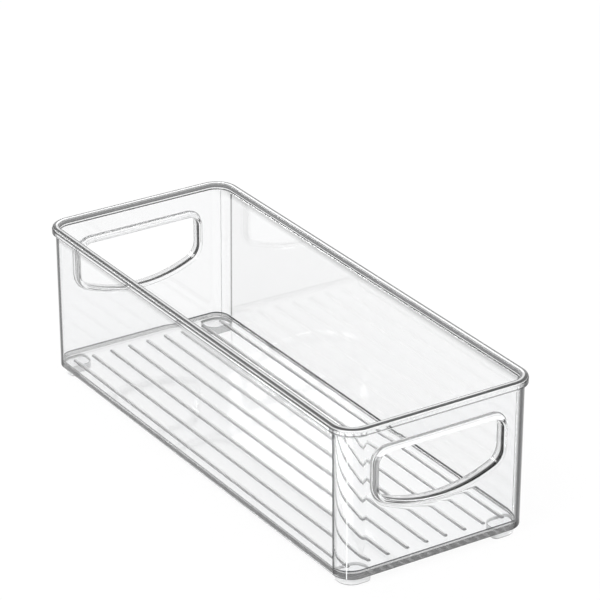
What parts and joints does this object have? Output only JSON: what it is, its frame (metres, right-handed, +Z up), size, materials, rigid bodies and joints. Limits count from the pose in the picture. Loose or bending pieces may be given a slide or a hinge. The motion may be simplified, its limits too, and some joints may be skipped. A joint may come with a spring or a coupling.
{
  "type": "storage bin",
  "caption": "Open-topped clear plastic storage bin with a rounded rim bead, a collared finger opening in each end wall, drip ribs on the floor and corner feet.",
  "frame": {"origin": "on the ground plane under the middle of the bin, at the underside of the feet", "axes": "+X across the bin, +Y along the bin from the front end wall to the back end wall, +Z up"},
  "size_m": [0.1, 0.258, 0.0765],
  "materials": {
    "clear_plastic": "polished water-clear moulded plastic"
  },
  "bodies": {
    "root": {"floor_pan": "clear_plastic", "wall_band": "clear_plastic", "top_rim": "clear_plastic", "front_grip_collar": "clear_plastic", "back_grip_collar": "clear_plastic", "floor_ribs": "clear_plastic", "foot_front_left": "clear_plastic", "foot_front_right": "clear_plastic", "foot_back_left": "clear_plastic", "foot_back_right": "clear_plastic"}
  },
  "joints": []
}
